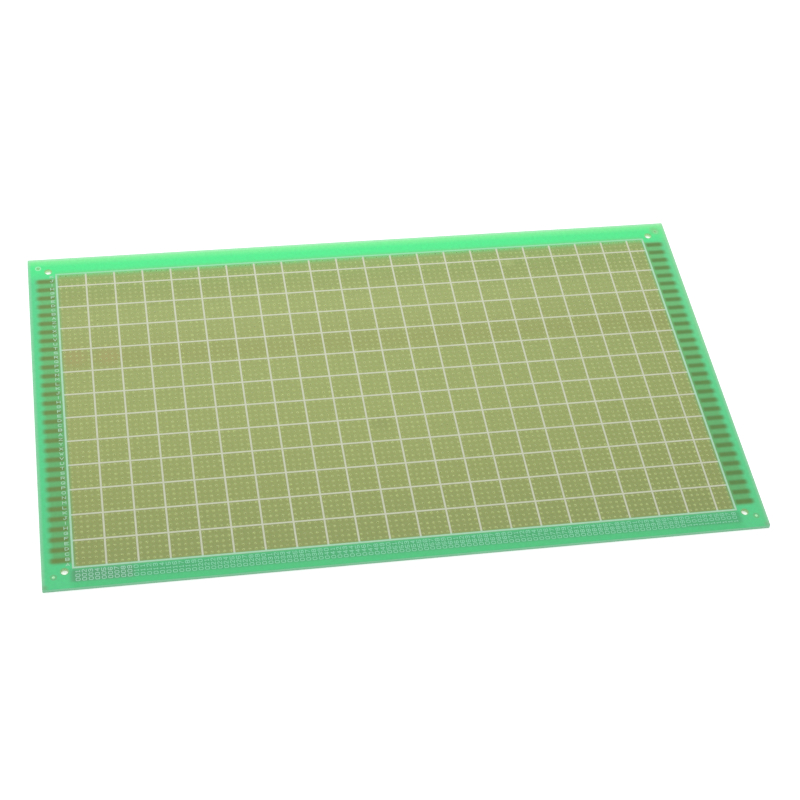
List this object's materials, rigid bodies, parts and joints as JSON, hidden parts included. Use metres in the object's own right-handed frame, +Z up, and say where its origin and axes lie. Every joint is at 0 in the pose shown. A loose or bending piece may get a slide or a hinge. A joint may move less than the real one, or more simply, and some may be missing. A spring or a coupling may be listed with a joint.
{
  "type": "perforated prototyping circuit board",
  "caption": "Flat bare circuit board with a fine grid of lead holes, solder pads on its underside and a printed grid, numbers and letters on top.",
  "frame": {"origin": "middle of the underside, where the board rests", "axes": "+X along the numbered long edge towards the higher numbers, +Y from the numbered edge to the far one, +Z up out of the printed side"},
  "size_m": [0.3, 0.18, 0.0016],
  "materials": {
    "laminate": "glass-epoxy sheet, satin, the green mask and the copper of the underside showing softly through it",
    "solder_mask": "green solder mask, glossy",
    "tinned_copper": "copper foil with a bright tin coat",
    "white_print": "white component print, matt"
  },
  "bodies": {
    "root": {"laminate": "laminate", "solder_mask": "solder_mask", "ring_pads": "tinned_copper", "left_edge_pads": "tinned_copper", "right_edge_pads": "tinned_copper", "grid_print": "white_print", "column_numbers": "white_print", "row_letters": "white_print"}
  },
  "joints": []
}
